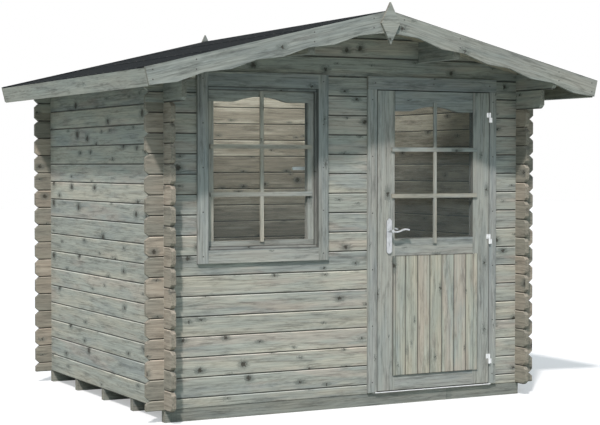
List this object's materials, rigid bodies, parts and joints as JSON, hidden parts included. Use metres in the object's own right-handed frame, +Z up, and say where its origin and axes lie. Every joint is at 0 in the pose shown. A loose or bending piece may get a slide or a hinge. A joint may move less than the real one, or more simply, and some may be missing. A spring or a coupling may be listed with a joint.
{
  "type": "log cabin",
  "caption": "Small garden log cabin with interlocking log corners, a felted ridge roof with stepped barge boards, a barred window and a half-glazed door on hinges.",
  "frame": {"origin": "centre of the bounding box on the ground, under the joists", "axes": "+X along the front to the right, seen from outside; +Y from the front wall to the back wall; +Z up"},
  "size_m": [2.966, 2.531, 2.353],
  "materials": {
    "weathered_log": "weathered grey-green softwood logs with dark knots",
    "sawn_board": "sawn softwood boards",
    "joist": "impregnated joists",
    "roof_trim": "planed weathered boards",
    "joinery": "planed weathered joinery",
    "roof_felt": "charcoal mineral felt",
    "glass": "clear",
    "handle_metal": "satin",
    "hinge_metal": "zinc plated"
  },
  "bodies": {
    "cabin": {"back_gable_middle_logs": "weathered_log", "back_gable_outer_logs": "weathered_log", "back_wall_even_logs": "weathered_log", "back_wall_odd_logs": "weathered_log", "barge_back_left": "roof_trim", "barge_back_right": "roof_trim", "barge_front_left": "roof_trim", "barge_front_right": "roof_trim", "corbel_logs": "weathered_log", "door_casing_head": "joinery", "door_casing_sides": "joinery", "door_head": "joinery", "door_jambs": "joinery", "door_sill": "joinery", "door_stops": "joinery", "eaves_fascias": "roof_trim", "finials": "roof_trim", "floor_boards": "sawn_board", "floor_joists": "joist", "front_gable_middle_logs": "weathered_log", "front_gable_outer_logs": "weathered_log", "front_lintel_log": "weathered_log", "front_wall_even_logs": "weathered_log", "front_wall_odd_logs": "weathered_log", "hinge_lower_halves": "hinge_metal", "left_wall_even_logs": "weathered_log", "left_wall_odd_logs": "weathered_log", "purlins": "sawn_board", "right_wall_even_logs": "weathered_log", "right_wall_odd_logs": "weathered_log", "roof_boards_left": "sawn_board", "roof_boards_right": "sawn_board", "roof_felt_left": "roof_felt", "roof_felt_right": "roof_felt", "sill_strip": "handle_metal", "wall_plates": "weathered_log", "window_bars": "joinery", "window_casing_rails": "joinery", "window_casing_sides": "joinery", "window_frame": "joinery", "window_glass": "glass", "window_handle": "handle_metal", "window_sash": "joinery"},
    "door": {"door_stiles": "joinery", "door_rails": "joinery", "door_panel": "joinery", "door_glass": "glass", "door_bars": "joinery", "hinge_upper_halves": "hinge_metal", "handle_plates": "handle_metal"},
    "door_lever": {"lever_handles": "handle_metal"}
  },
  "joints": [
    {"name": "door_hinge", "type": "hinge", "parent": "cabin", "child": "door", "pos_m": [0.9645, -0.8545, 0.978], "axis": [0, 0, 1], "range_deg": [0, 115]},
    {"name": "lever_turn", "type": "hinge", "parent": "door", "child": "door_lever", "pos_m": [0.241, -0.8275, 1.042], "axis": [0, 1, 0], "range_deg": [0, 40], "stiffness_Nm_per_rad": 1.2}
  ]
}
